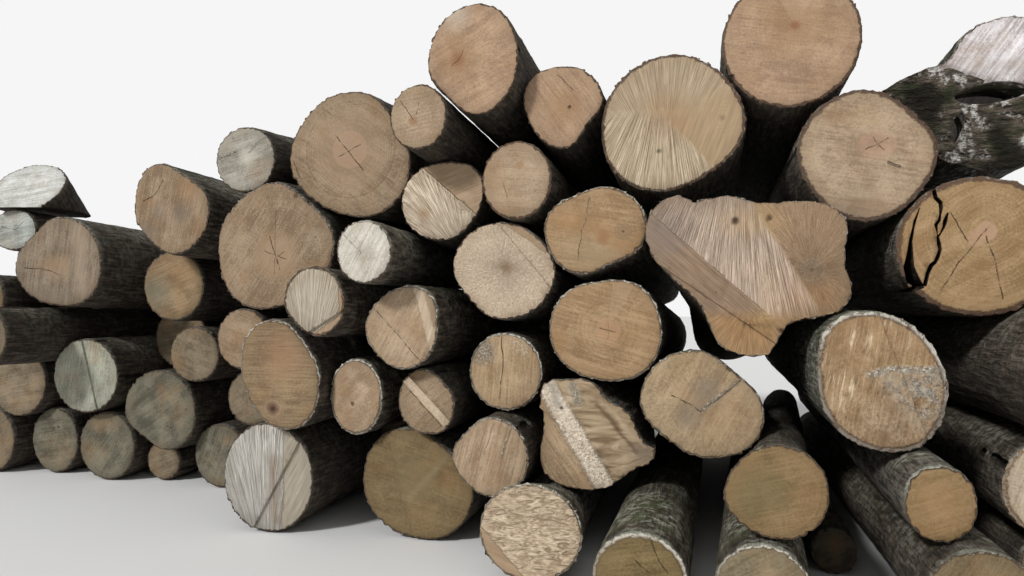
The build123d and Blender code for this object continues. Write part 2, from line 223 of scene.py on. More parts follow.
def cut_up(bm, straighten, seed, saw_angle, relief, damage):
    """Straighten a log's solid along Y, cut it up small, roughen it and put it back."""
    bm.transform(straighten)
    back = max(v.co.y for v in bm.verts)
    bmesh.ops.recalc_face_normals(bm, faces=bm.faces)
    corners, loops = [], []
    for f in bm.faces:
        reach = max(v.co.y for v in f.verts)
        if abs(f.normal.y) < STEEPEST_FLANK and reach > damage:
            loops.append(list(range(len(corners), len(corners) + len(f.verts))))
            corners += [v.co.copy() for v in f.verts]
    flanks = BVHTree.FromPolygons(corners, loops)
    for axis in (0, 2):
        low = min(v.co[axis] for v in bm.verts)
        high = max(v.co[axis] for v in bm.verts)
        count = max(3, round((high - low) / CELL))
        sliced(bm, axis, [low + (high - low) * k / count for k in range(1, count)])
    steps = [NEAR_STEP * (k + 0.5) for k in range(NEAR_RINGS)]
    steps += [steps[-1] + MIDDLE_STEP * (k + 1) for k in range(MIDDLE_RINGS)]
    rest = (back - BACK_BAND - steps[-1]) / FAR_RINGS
    if rest > MIDDLE_STEP:
        steps += [steps[-1] + rest * (k + 1) for k in range(FAR_RINGS)] + [back - BACK_RING]
    sliced(bm, 1, [y for y in steps if y < back - BACK_GAP])
    near = [f for f in bm.faces if f.normal.y < -BROKEN and f.calc_center_median().y < LEDGE]
    edges = list(dict.fromkeys(e for f in near for e in f.edges))
    bmesh.ops.subdivide_edges(bm, edges=edges, cuts=FACE_CUTS, use_grid_fill=True)
    rim = bm.verts.layers.float.new("rim")
    grain = bm.verts.layers.float_vector.new("grain")
    moves = []
    turn = Matrix.Rotation(saw_angle, 3, "Y")
    for v in bm.verts:
        _, normal, _, distance = flanks.find_nearest(v.co)
        v[rim] = distance
        v[grain] = v.co
        move = Vector((0, 0, 0))
        if distance < ON_FLANK:
            at = Vector((v.co.x * FURROWS_ACROSS + seed, v.co.y * FURROWS_ALONG,
                         v.co.z * FURROWS_ACROSS))
            furrow = 0.5 + 0.5 * noise.fractal(at, 0.8, 2.1, 3)
            move -= normal * FURROW * min(1.0, max(0.0, furrow))
            if v.co.y < TORN_BAND:
                at = Vector((v.co.x * CHIPS, seed, v.co.z * CHIPS))
                chip = noise.fractal(at, 0.6, 2.0, 3)
                move -= normal * CHIP * (0.5 + 0.5 * chip)
        from_end = min(v.co.y, back - v.co.y)
        if from_end < TORN_BACK and distance < TORN_BAND:
            at = Vector((v.co.x * TEARS, seed, v.co.z * TEARS))
            torn = 0.5 + 0.5 * noise.fractal(at, 0.7, 2.2, 3)
            inward = 1 if v.co.y < back / 2 else -1
            share = (1 - distance / TORN_BAND) * (1 - from_end / TORN_BACK)
            move += Vector((0, inward * RAGGED * max(0.0, torn) * share, 0))
        if v.co.y < LEDGE and distance > ON_FLANK:
            at = turn @ v.co
            swell = noise.fractal(Vector((at.x * SWELLS, seed, at.z * RIDGES)), 0.8, 2.0, 3)
            move += Vector((0, relief * (0.5 + 0.5 * swell) * min(1, distance / TORN_BAND), 0))
        moves.append(move)
    for f in bm.faces:
        slope = abs(f.normal.y)
        if slope < STEEPEST_FLANK and all(v[rim] < ON_FLANK for v in f.verts):
            f.material_index = BARK
        elif slope < BROKEN and max(v.co.y for v in f.verts) > LEDGE:
            f.material_index = ROT_AND_SHADE
        else:
            f.material_index = WOOD
        f.smooth = True
    for e in bm.edges:
        if len({f.material_index for f in e.link_faces}) > 1:
            e.smooth = False
    for v, move in zip(bm.verts, moves):
        v.co += move
    bm.transform(straighten.inverted())


def dress(name, slot, bark_material, wood_material, rot_and_shade_material, saw_angle=0.0, relief=0.003,
          damage=LEDGE, lean=None):
    """Put a log with bark and sawn ends in the place of its plain solid."""
    whole = bmesh.new()
    mesh = bpy.data.meshes.new(name + "_dressed")
    for bm in solids_of(name):
        cut_up(bm, lean or shear_of(bm, damage), 5.3 * int(name[-2:]), saw_angle, relief, damage)
        bm.to_mesh(mesh)
        whole.from_mesh(mesh)
        bm.free()
    whole.to_mesh(mesh)
    whole.free()
    for material in (bark_material, wood_material, rot_and_shade_material):
        mesh.materials.append(material)
    log = bpy.data.objects.new(name + "_dressed", mesh)
    bpy.context.scene.collection.objects.link(log)
    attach(log, "root")
    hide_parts(name)
    return log


def shaded_rot(name):
    """The dark wood inside splits and hollows: partly rot, and partly painted shade, dark as the shade
    deep in them.
    """
    s = Shader(name)
    grain = s.add("Attribute", out=1, attribute_name="grain")
    crumbs_and_highlight = s.noise(s.moved(grain, scale=(1, 0.3, 1)), 40, 4, 0.7)
    colour = s.blend(s.ranged(crumbs_and_highlight, 0.4, 0.7), SHADED_ROT_DARK, SHADED_ROT_PALE)
    return s.finish(colour, crumbs_and_highlight, 0.02, 0.95)


plain_bark = bark("bark")
dark_bark = bark("dark_bark", (0.085, 0.066, 0.050), (0.17, 0.15, 0.12), 0.2, 0.25, 0.45)
mossy_bark = bark("mossy_bark", BARK_BROWN, (0.26, 0.25, 0.20), 0.75, 0.85, 1.0, 1.3)
smooth_bark = bark("smooth_bark", (0.15, 0.13, 0.105), (0.25, 0.235, 0.20), 0.15, 0.6, 0.8, 0.5)
shaded_rot_material = shaded_rot("shaded_rotten_wood")

# The sawn ends
# End grain as the chain saw left it: growth rings and rays about the heart, lines and streaks
# of torn fibre across it, checks where it dried, and a dark ring of cut bark.
ALL_OVER = 1.0              # the mask that covers a whole end
CUT_BARK = (0.060, 0.035, 0.022)
CRACK_DARK = (0.055, 0.035, 0.022)
RED_HEART = (0.30, 0.135, 0.065)
PALE_RIM = (0.56, 0.53, 0.45)
WARM_STAIN = (0.33, 0.19, 0.09)


class SawnEnd(Shader):
    """A log's sawn end: places on it are metres to the right of its middle and above it."""

    def __init__(self, log, tone, saw=(20, 0.5), rings=0.4, rays=0.4, heart=(0, 0), mottle=1.0):
        super().__init__(log + "_end")
        self.log, self.saw, self.dark, self.height = log, saw, tone[0], 0.0
        self.seed = 3.7 * int(log[-2:])
        grain = self.add("Attribute", out=1, attribute_name="grain")
        self.face = self.vector("ADD", self.vector("MULTIPLY", grain, (1, 0.15, 1)),
                                (0, self.seed, 0))
        waves = self.vector("SUBTRACT", self.noise(self.face, 13, 4, 0.7, out=1), (0.5, 0.5, 0.5))
        self.bent = self.vector("ADD", self.face, self.vector("MULTIPLY", waves, (0.03, 0, 0.03)))
        self.clouds = self.noise(self.face, 7, 4, 0.6)
        self.specks = self.noise(self.face, 85, 4, 0.8)
        self.fibres = self.lines(saw[0])
        sweeps = self.lines(saw[0] + 4, 16, 0.12)
        rays_here = self.fan(*heart)
        radius = self.vector("LENGTH", self.away(*heart, 0.03), out=1)
        ring = self.noise(self.add("CombineXYZ", radius, self.seed, 0.0), 70, 3, 0.8)
        tone_here = self.math("MULTIPLY_ADD", self.math("SUBTRACT", ring, 0.5), rings * 2.4, 0.5)
        for pattern, share in ((rays_here, rays * 2.8), (self.fibres, saw[1] * 3.6),
                               (self.clouds, mottle * 1.5), (self.specks, 1.7), (sweeps, 1.0)):
            tone_here = self.math("MULTIPLY_ADD", self.math("SUBTRACT", pattern, 0.5), share,
                                  tone_here)
        self.colour = self.blend(self.ranged(tone_here, 0.12, 0.88), *tone)
        stain = self.noise(self.vector("ADD", self.face, (5.1, 0, 2.3)), 4.5, 3, 0.6)
        self.paint(self.ranged(stain, 0.50, 0.68, 0.0, 0.35), WARM_STAIN)
        self.height = self.math("MULTIPLY_ADD", self.fibres, saw[1] * 1.5,
                                self.both(rays_here, rays * 0.8))
        self.height = self.math("MULTIPLY_ADD", self.specks, 0.5, self.height)

    def away(self, x, z, waviness=0.0):
        """The way from a place, in the plane of the end."""
        plain = self.bent if waviness else self.face
        return self.vector("MULTIPLY", self.vector("SUBTRACT", plain, (x, 0, z)), (1, 0, 1))

    def lines(self, angle, fineness=95, length=0.05):
        """Parallel lines, at an angle from level."""
        turned = self.moved(self.face, turned=(0, math.radians(angle), 0))
        return self.noise(self.moved(turned, scale=(length, 1, 1)), fineness, 3, 0.6)

    def fan(self, x, z, fineness=30, length=14):
        """Lines that spread from a place."""
        away = self.away(x, z)
        way = self.vector("MULTIPLY", self.vector("NORMALIZE", away), (fineness, 0, fineness))
        out = self.both(self.vector("LENGTH", away, out=1), length)
        spread = self.vector("ADD", way, self.add("CombineXYZ", 0.0, out, 0.0))
        return self.noise(spread, 1.6, 4, 0.6)

    def disc(self, x, z, radius, soft=0.3, flat=1.0):
        """1 inside a round patch, and 0 outside."""
        away = self.vector("MULTIPLY", self.away(x, z, 1.0), (1, 0, flat))
        return self.ranged(self.vector("LENGTH", away, out=1), radius * (1 + soft),
                           radius * (1 - soft), 0.0, 1.0, True)

    def half(self, x, z, angle, soft=0.002):
        """1 to the left of a line through a place, heading at an angle from level."""
        c, s = math.cos(math.radians(angle)), math.sin(math.radians(angle))
        side = self.vector("DOT_PRODUCT", self.away(x, z, 1.0), (-s, 0, c), out=1)
        return self.ranged(side, -soft, soft)

    def near(self, places, width, soft=0.5):
        """1 along a line through some places, and 0 away from it."""
        nearest = None
        for (x0, z0), (x1, z1) in zip(places, places[1:]):
            length = math.hypot(x1 - x0, z1 - z0)
            angle = math.atan2(z1 - z0, x1 - x0)
            level = self.moved(self.bent, ((x0 + x1) / 2, 0, (z0 + z1) / 2), (0, -angle, 0),
                               kind="TEXTURE")
            level = self.vector("MULTIPLY", level, (1, 0, 1))
            past = self.vector("SUBTRACT", self.vector("ABSOLUTE", level), (length / 2, 0, 0))
            past = self.vector("LENGTH", self.vector("MAXIMUM", past, (0, 0, 0)), out=1)
            nearest = past if nearest is None else self.math("MINIMUM", nearest, past)
        half = width / 2
        waver = self.math("SUBTRACT", self.specks, 0.5)
        nearest = self.math("MULTIPLY_ADD", waver, half * 1.6, nearest)
        return self.ranged(nearest, half * (1 - soft), half * (1 + soft), 1.0, 0.0)

    def speckled(self, mask, low=0.42, high=0.58):
        return self.both(mask, self.ranged(self.specks, low, high))

    def paint(self, mask, colour, share=1.0, raised=0.0):
        """Colour the end under a mask, and raise it there or sink it."""
        self.colour = self.blend(self.both(mask, share), self.colour, colour)
        if raised:
            self.height = self.math("MULTIPLY_ADD", mask, raised, self.height)

    def textured(self, mask, tone, pattern, contrast=(0.3, 0.7), relief=0.4):
        """Give the end under a mask a tone and a pattern of its own."""
        own = self.blend(self.ranged(pattern, *contrast), *tone)
        cloudy = self.ranged(self.clouds, 0.35, 0.65, 0.0, 0.4)
        own = self.blend(cloudy, own, self.blend(0.5, tone[0], tone[1]))
        self.colour = self.blend(mask, self.colour, own)
        high = self.both(pattern, relief)
        mixed = self.add("Mix", mask, None, self.height, high).node
        self.height = mixed.outputs[0]

    def crack(self, *places, width=0.006, share=0.85):
        gaps = self.ranged(self.noise(self.face, 26, 3), 0.40, 0.56, 0.15, 1.0)
        self.paint(self.both(self.near(places, width * 0.7), gaps), CRACK_DARK, share, -2.0)

    def bright_line(self, *places, width=0.012, colour=PALE_RIM, share=0.7):
        self.paint(self.speckled(self.near(places, width)), colour, share, 0.8)

    def heart_mark(self, x, z, radius, colour=RED_HEART, share=0.5, soft=0.6, flat=1.0):
        self.paint(self.disc(x, z, radius, soft, flat), colour, share)

    def knot(self, x, z, radius, colour, share=0.55):
        """A branch's rings, with a dark middle."""
        away = self.vector("LENGTH", self.away(x, z, 1.0), out=1)
        wave = self.math("SINE", self.both(away, 330.0))
        inside = self.disc(x, z, radius, 0.25)
        self.paint(inside, colour, share * 0.7)
        self.paint(self.both(inside, self.ranged(wave, 0.2, 1.0)), self.dark, share)
        self.paint(self.disc(x, z, radius * 0.16, 0.5), CRACK_DARK, share)

    def dress(self, bark_material, rim=0.012, cut=CUT_BARK, pale_rim_and_highlight=0.0, relief=0.003,
              rot_and_shade_material=shaded_rot_material, slot="beech_butt", **about):
        """Finish the end with its ring of cut bark and pale flecks round it, stronger along the top as
        a painted highlight, and dress the log.
        """
        edge = self.add("Attribute", out=2, attribute_name="rim")
        ragged = self.math("MULTIPLY_ADD", self.specks, rim * 1.6,
                           self.both(self.noise(self.face, 22, 3, 0.7), rim * 1.4))
        dirt = self.both(self.ranged(edge, 0.0, 0.10, 0.75, 0.0), self.ranged(self.clouds, 0.3, 0.65))
        self.colour = self.blend(dirt, self.colour, self.dark)
        ring = self.ranged(self.math("SUBTRACT", edge, ragged), -rim * 0.6, -rim * 0.25, 1.0, 0.0)
        self.paint(ring, self.blend(self.ranged(self.specks, 0.4, 0.62), cut, BARK_BROWN), 1.0, -0.6)
        height = self.add("SeparateXYZ", self.face, out=2)
        side = self.add("SeparateXYZ", self.face, out=0)
        # The pale flecks round the rim are partly torn bark and partly a painted highlight, stronger
        # along the top where the light catches the edge.
        lit_top = self.ranged(self.math("MULTIPLY_ADD", side, 0.35, height), 0.02, 0.14)
        flecks = self.ranged(self.noise(self.face, 45, 3, 0.7), 0.62 - 0.25 * pale_rim_and_highlight, 0.7 - 0.2 * pale_rim_and_highlight)
        outer = self.ranged(edge, rim * 1.1, rim * 0.6)
        pale_flecks_and_highlight = self.both(self.both(flecks, outer), self.ranged(lit_top, 0.0, 1.0, 0.35, 1.0))
        self.paint(pale_flecks_and_highlight, PALE_RIM, 0.35 + 0.6 * pale_rim_and_highlight)
        wood = self.finish(self.colour, self.height, 0.006)
        return dress(self.log, slot, bark_material, wood, rot_and_shade_material,
                     math.radians(self.saw[0]), relief, **about)


# The top row
# Large beech butts on the crown of the pile, sawn clean: pinkish tan faces with a star-shaped
# reddish heart. They lie in the hollows between the logs below, with nothing to tie them.
ROSE = (0.30, 0.195, 0.125), (0.51, 0.35, 0.225)
SAND = (0.27, 0.19, 0.12), (0.49, 0.37, 0.25)
PALE_FLAME = (0.58, 0.43, 0.29)
ORANGE = (0.36, 0.20, 0.09)
GREY_STAIN = (0.17, 0.145, 0.12)
WHITE_FLECK = (0.72, 0.68, 0.58)

end = SawnEnd("log_12", ROSE, (-12, 0.25), 0.3, 0.35, (0.02, 0.07))
end.paint(end.both(end.half(0.02, 0.07, 55), end.half(0.02, 0.07, -62)), PALE_FLAME, 0.3)
end.heart_mark(0.02, 0.07, 0.12, ORANGE, 0.45, 0.9)
end.heart_mark(0.02, 0.07, 0.022, RED_HEART, 0.8)
end.dress(plain_bark, 0.018, (0.11, 0.055, 0.035))

end = SawnEnd("log_09", ROSE, (25, 0.25), 0.3, 0.45, (-0.08, 0.0))
end.heart_mark(-0.08, 0.0, 0.10, ORANGE, 0.4, 0.9)
end.heart_mark(-0.08, 0.0, 0.035, RED_HEART, 0.7, 0.9)
end.crack((-0.12, -0.03), (-0.08, 0.0), (-0.05, 0.05), width=0.004, share=0.5)
end.heart_mark(-0.11, 0.26, 0.08, WHITE_FLECK, 0.35, 0.8)
end.dress(dark_bark)

end = SawnEnd("log_10", ROSE, (-55, 0.4), 0.3, 0.3, (0.04, 0.0))
end.crack((-0.03, 0.19), (0.06, 0.09), width=0.004, share=0.4)
end.heart_mark(0.04, 0.0, 0.07, ORANGE, 0.35, 0.9)
end.heart_mark(0.04, 0.0, 0.008, CRACK_DARK, 0.9)
end.dress(dark_bark, 0.011)

end = SawnEnd("log_13", SAND, (-12, 0.28), 0.45, 0.35, (0.05, 0.05), 1.3)
end.paint(end.speckled(end.disc(-0.03, -0.27, 0.10, 0.8)), GREY_STAIN, 0.5)
end.heart_mark(0.05, 0.05, 0.09, (0.47, 0.29, 0.19), 0.5, 0.25, 1.3)
end.crack((0.0, 0.03), (0.05, 0.05), (0.10, 0.08), width=0.005, share=0.7)
end.crack((0.03, 0.09), (0.05, 0.05), (0.08, 0.02), width=0.004, share=0.6)
end.crack((0.10, -0.04), (0.15, -0.06), width=0.012, share=0.6)
end.dress(plain_bark, 0.024, (0.085, 0.042, 0.028))

# The great cream butt
# The log in the middle of the top row, whose face the saw left rough: bright ridged fibres fan
# out from its heart, with one smoother brown wedge and the rings of a branch at its right.
CREAM = (0.33, 0.235, 0.15), (0.72, 0.59, 0.44)

end = SawnEnd("log_11", CREAM, (70, 0.15), 0.2, 0.2, (-0.04, 0.03))
end.textured(end.half(-2, 0.0, 0), ((0.26, 0.195, 0.125), (0.60, 0.47, 0.32)),
             end.fan(-0.04, -0.25, 55, 3), (0.34, 0.66), 1.2)
end.textured(end.half(-0.04, 0.05, 178, 0.03), ((0.30, 0.205, 0.115), (0.86, 0.72, 0.52)),
             end.fan(-0.04, 0.40, 85, 2.2), (0.38, 0.60), 2.5)
wedge = end.both(end.half(-0.04, 0.03, -48, 0.015), end.half(-0.04, 0.03, 205, 0.06))
end.textured(wedge, ((0.30, 0.205, 0.12), (0.47, 0.34, 0.21)), end.fibres)
end.knot(0.26, 0.01, 0.10, (0.45, 0.33, 0.20), 0.3)
end.heart_mark(-0.04, 0.03, 0.11, ORANGE, 0.45, 0.9)
end.heart_mark(-0.07, -0.15, 0.012, CRACK_DARK, 0.7)
end.dress(plain_bark, 0.020, (0.10, 0.05, 0.03), 0.3, 0.008)

# The two great round butts
# The largest logs to the left of the middle: brown tan faces with broad growth rings, a paler
# disc of heartwood, and drying checks that cross in it.
UMBER = (0.205, 0.14, 0.085), (0.38, 0.285, 0.19)

end = SawnEnd("log_07", UMBER, (-35, 0.25), 0.7, 0.35, (0.01, 0.03))
end.heart_mark(0.01, 0.03, 0.24, (0.36, 0.25, 0.16), 0.5, 0.12)
end.heart_mark(0.01, 0.03, 0.115, (0.42, 0.28, 0.18), 0.6, 0.1)
end.crack((-0.09, 0.12), (0.0, 0.02), (0.10, -0.10))
end.crack((0.08, 0.06), (0.0, 0.02), (-0.06, -0.01), width=0.005, share=0.7)
end.crack((-0.37, -0.03), (-0.32, -0.14), share=0.5)
end.dress(dark_bark, 0.012, (0.075, 0.04, 0.026), 0.2)

end = SawnEnd("log_06", UMBER, (55, 0.35), 0.65, 0.45, (0.01, -0.06))
end.heart_mark(0.01, -0.06, 0.15, (0.36, 0.24, 0.14), 0.5, 0.15)
end.heart_mark(0.01, -0.06, 0.10, (0.40, 0.28, 0.18), 0.5, 0.12)
end.crack((-0.03, 0.06), (0.0, -0.05), (0.04, -0.15))
end.crack((-0.07, -0.03), (0.08, -0.09), width=0.004, share=0.6)
end.crack((0.0, -0.08), (0.07, -0.04), width=0.004, share=0.5)
end.crack((0.01, 0.22), (0.0, -0.18), width=0.003, share=0.4)
end.heart_mark(0.15, 0.31, 0.018, CRACK_DARK, 0.9)
end.knot(0.28, 0.05, 0.06, (0.42, 0.34, 0.24), 0.3)
end.dress(dark_bark, 0.014, (0.085, 0.045, 0.03), 0.55)

# The smaller logs of the upper left
# Straight stems between the great butts, grey tan and weathered, with fine radial checks. Each
# is sawn square and lies in the hollow between its neighbours.
ASH = (0.24, 0.22, 0.175), (0.47, 0.44, 0.37)
ORANGE_STAIN = (0.40, 0.235, 0.115)
TAUPE = (0.155, 0.115, 0.08), (0.31, 0.245, 0.175)

end = SawnEnd("log_03", TAUPE, (80, 0.4), 0.35, 0.3, (0.02, -0.05))
end.paint(end.near([(0.20, 0.25), (0.22, -0.2)], 0.10, 0.9), (0.42, 0.33, 0.24), 0.5)
end.heart_mark(0.02, -0.05, 0.10, (0.38, 0.26, 0.16), 0.4, 0.5)
end.crack((-0.30, -0.05), (-0.18, -0.055), (-0.07, -0.07), (0.04, -0.11))
end.crack((0.04, 0.07), (0.02, -0.02), width=0.004, share=0.5)
end.paint(end.speckled(end.near([(-0.2, -0.24), (0.1, -0.27)], 0.09, 0.9)), GREY_STAIN, 0.6)
end.dress(plain_bark, 0.014, pale_rim_and_highlight=0.35)

end = SawnEnd("log_04", UMBER, (75, 0.45), 0.25, 0.25, (0.1, -0.1), 1.3)
end.crack((-0.22, 0.06), (-0.14, 0.09), (-0.10, 0.14), (-0.06, 0.20), width=0.008, share=0.7)
for x, z, size in ((-0.11, -0.02, 0.05), (0.08, -0.03, 0.06), (-0.2, -0.16, 0.06)):
    end.heart_mark(x, z, size, GREY_STAIN, 0.45, 0.9)
end.heart_mark(0.15, 0.15, 0.09, ORANGE_STAIN, 0.45, 0.9)
end.dress(plain_bark, 0.011, pale_rim_and_highlight=0.3)

end = SawnEnd("log_05", ASH, (15, 0.35), 0.2, 0.5, (0.04, 0.06), 1.3)
end.bright_line((-0.20, 0.02), (-0.12, 0.03), (-0.06, 0.06), width=0.02, colour=WHITE_FLECK)
end.bright_line((0.03, 0.05), (0.08, 0.10), (0.15, 0.14), width=0.018, colour=WHITE_FLECK)
end.crack((-0.19, 0.01), (-0.06, 0.05), width=0.005, share=0.5)
end.heart_mark(0.02, 0.02, 0.05, WHITE_FLECK, 0.5, 0.8)
end.dress(dark_bark, 0.010)

end = SawnEnd("log_08", SAND, (10, 0.25), 0.3, 0.4, (-0.03, -0.02))
end.paint(end.half(0.0, -0.145, 180), (0.47, 0.36, 0.24), 0.45)
end.crack((-0.10, 0.09), (-0.03, -0.01), width=0.004, share=0.6)
end.crack((0.01, 0.08), (-0.01, 0.01), width=0.004, share=0.5)
end.heart_mark(-0.03, -0.02, 0.025, RED_HEART, 0.6)
end.dress(dark_bark, 0.010)

end = SawnEnd("log_18", SAND, (-5, 0.25), 0.35, 0.3, (0.02, 0.08))
end.heart_mark(0.02, 0.08, 0.02, ORANGE, 0.6)
end.crack((-0.05, -0.10), (-0.08, 0.0), width=0.003, share=0.3)
end.dress(plain_bark, 0.014, (0.10, 0.05, 0.032))

# The white logs
# Logs that the weather has bleached: two on the left-hand end of the pile, one of them a short
# piece leaning back on its sloping cut, and one that sticks out of the middle of the pile.
CHALK = (0.40, 0.40, 0.36), (0.80, 0.80, 0.76)
BONE = (0.44, 0.40, 0.33), (0.80, 0.76, 0.67)
LEAN_BACK, LEAN_HEADING = math.radians(40.5), math.radians(-13)
UPPER_END = 0.001           # points this near to the end's plane are the end's


def leaning(name):
    """The turn that puts the leaning piece's axis straight along Y through the origin."""
    along = math.cos(LEAN_BACK)
    axis = Vector((math.sin(LEAN_HEADING) * along, math.cos(LEAN_HEADING) * along,
                   -math.sin(LEAN_BACK)))
    side = Vector((math.cos(LEAN_HEADING), -math.sin(LEAN_HEADING), 0))
    points = [v.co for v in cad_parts[name].data.vertices]
    upper = min(p.dot(axis) for p in points)
    end_points = [p for p in points if p.dot(axis) < upper + UPPER_END]
    lows = [min(p.dot(way) for p in end_points) for way in (side, side.cross(axis))]
    highs = [max(p.dot(way) for p in end_points) for way in (side, side.cross(axis))]
    turn = Matrix((side, axis, side.cross(axis))).to_4x4()
    middle = Vector(((lows[0] + highs[0]) / 2, upper, (lows[1] + highs[1]) / 2))
    return Matrix.Translation(-middle) @ turn


end = SawnEnd("log_01", CHALK, (15, 0.35), 0.2, 0.3, (0.0, 0.0))
end.dress(dark_bark, lean=leaning("log_01"), slot="white_butt")

end = SawnEnd("log_02", ((0.24, 0.25, 0.22), (0.58, 0.60, 0.55)), (10, 0.3), 0.35, 0.5, (0.02, 0.0))
end.crack((-0.12, 0.02), (0.02, 0.0), (0.10, 0.06), width=0.005, share=0.5)
end.dress(dark_bark, slot="white_butt")

end = SawnEnd("log_16", BONE, (60, 0.5), 0.25, 0.5, (0.0, -0.02))
end.crack((-0.12, 0.10), (-0.06, 0.04), (-0.01, -0.01), width=0.004, share=0.5)
end.heart_mark(0.0, -0.02, 0.05, (0.42, 0.36, 0.28), 0.4, 0.8)
end.dress(smooth_bark, 0.010, pale_rim_and_highlight=0.6, relief=0.005, slot="white_butt")

# The torn ends
# Logs where the saw cut in from two sides: one part is smooth, and on the other the fibres
# stand torn and bright, with a low ledge between the two.
SMOOTH_BROWN = (0.27, 0.185, 0.115), (0.43, 0.31, 0.20)
BRIGHT_FIBRE = (0.36, 0.26, 0.16), (0.98, 0.84, 0.66)

end = SawnEnd("log_17", CREAM, (-20, 0.5), 0.1, 0.4, (0.0, -0.05))
end.textured(end.half(0.21, -0.08, 139), BRIGHT_FIBRE, end.fan(0.15, -0.35, 52, 4), (0.40, 0.58), 2.5)
end.textured(end.half(-0.13, 0.21, -41), SMOOTH_BROWN, end.lines(20), (0.3, 0.7), 0.5)
end.knot(0.13, -0.01, 0.066, (0.50, 0.38, 0.26), 0.4)
end.heart_mark(-0.11, -0.07, 0.035, ORANGE, 0.6, 0.8)
end.crack((-0.13, 0.21), (0.21, -0.08), width=0.004, share=0.6)
end.dress(dark_bark, 0.010, pale_rim_and_highlight=0.2, relief=0.012)

end = SawnEnd("log_20", CREAM, (40, 0.1), 0.35, 0.9, (0.02, 0.02))
end.textured(ALL_OVER, ((0.38, 0.27, 0.175), (0.84, 0.68, 0.51)),
             end.fan(0.02, 0.02, 34, 22), (0.22, 0.74), 2.0)
end.paint(end.speckled(end.disc(0.02, 0.02, 0.6), 0.48, 0.62), (0.94, 0.78, 0.60), 0.7)
end.textured(end.half(-0.02, 0.28, -34), SMOOTH_BROWN, end.lines(25), (0.3, 0.7), 0.5)
end.heart_mark(0.02, 0.02, 0.035, ORANGE_STAIN, 0.6, 0.8)
end.dress(smooth_bark, 0.010, relief=0.004)

end = SawnEnd("log_21", CREAM, (88, 0.6), 0.1, 0.2, (-0.04, -0.19))
end.textured(ALL_OVER, ((0.33, 0.275, 0.19), (0.80, 0.72, 0.58)),
             end.fan(-0.04, -0.5, 90, 2.2), (0.38, 0.58), 2.5)
smooth = end.math("MAXIMUM", end.half(0.0, -0.18, 214), end.half(0.155, 0.0, -90))
end.textured(smooth, SMOOTH_BROWN, end.fibres)
end.dress(plain_bark, 0.016, (0.10, 0.05, 0.03), 0.3, 0.010)

end = SawnEnd("log_35", ASH, (88, 0.6), 0.1, 0.2, (0.0, -0.4))
end.textured(ALL_OVER, ((0.24, 0.205, 0.16), (0.76, 0.73, 0.67)),
             end.fan(0.0, -0.7, 110, 2.2), (0.38, 0.58), 2.5)
end.paint(end.near([(0.05, 0.1), (0.05, -0.25)], 0.08, 0.7), (0.27, 0.19, 0.12), 0.55)
end.textured(end.half(0.10, -0.1, -92), ((0.24, 0.20, 0.15), (0.44, 0.39, 0.31)), end.lines(60))
end.bright_line((0.04, 0.29), (0.10, 0.10), (0.10, -0.19), width=0.010)
end.dress(dark_bark, relief=0.010)

end = SawnEnd("log_49", CREAM, (-15, 0.3), 0.2, 0.2, (0.0, 0.0))
curls = end.moved(end.face, turned=(0, math.radians(-20), 0), scale=(0.35, 1, 1))
curls = end.noise(curls, 42, 3, 0.55, 1.6)
end.textured(ALL_OVER, ((0.27, 0.19, 0.12), (0.70, 0.57, 0.41)), curls, (0.38, 0.62), 3.0)
end.textured(end.half(-0.19, -0.05, 133), SMOOTH_BROWN, end.fibres)
end.dress(smooth_bark, 0.015, pale_rim_and_highlight=0.9, relief=0.008)

# The small logs of the middle
# Straight stems with ledges across them, where two saw cuts didn't meet: a bright torn strip
# runs along the ledge, and their bark is ragged round the ends and painted white along the top,
# partly pale torn bark and partly painted highlight.
end = SawnEnd("log_25", SAND, (60, 0.35), 0.25, 0.3, (-0.01, 0.02))
end.textured(end.half(0.16, 0.05, -73), ((0.24, 0.17, 0.11), (0.42, 0.32, 0.21)), end.fibres,
             (0.3, 0.7), 0.5)
end.textured(end.near([(0.10, 0.24), (0.155, 0.06), (0.20, -0.12)], 0.055, 0.15),
             ((0.42, 0.31, 0.21), (0.66, 0.54, 0.40)), end.lines(75), (0.3, 0.7), 0.8)
end.crack((-0.16, 0.11), (0.11, -0.18), width=0.005, share=0.7)
end.heart_mark(-0.01, 0.02, 0.06, (0.42, 0.28, 0.19), 0.4, 0.9)
end.dress(mossy_bark, pale_rim_and_highlight=0.9)

end = SawnEnd("log_26", SAND, (35, 0.25), 0.3, 0.35, (-0.02, -0.04), 1.7)
end.heart_mark(-0.02, -0.04, 0.012, CRACK_DARK, 0.8)
end.paint(end.speckled(end.near([(0.13, 0.12), (0.13, -0.1)], 0.06, 0.9)), ORANGE_STAIN, 0.5)
end.dress(mossy_bark, 0.018, pale_rim_and_highlight=1.0)

end = SawnEnd("log_27", UMBER, (40, 0.3), 0.3, 0.2, (0.0, 0.0))
end.textured(end.near([(-0.12, 0.13), (0.14, -0.13)], 0.05, 0.1),
             ((0.42, 0.31, 0.21), (0.70, 0.57, 0.42)), end.specks, (0.35, 0.65), 1.0)
end.crack((-0.10, 0.06), (0.09, -0.13), width=0.005, share=0.6)
end.dress(dark_bark, pale_rim_and_highlight=0.4)

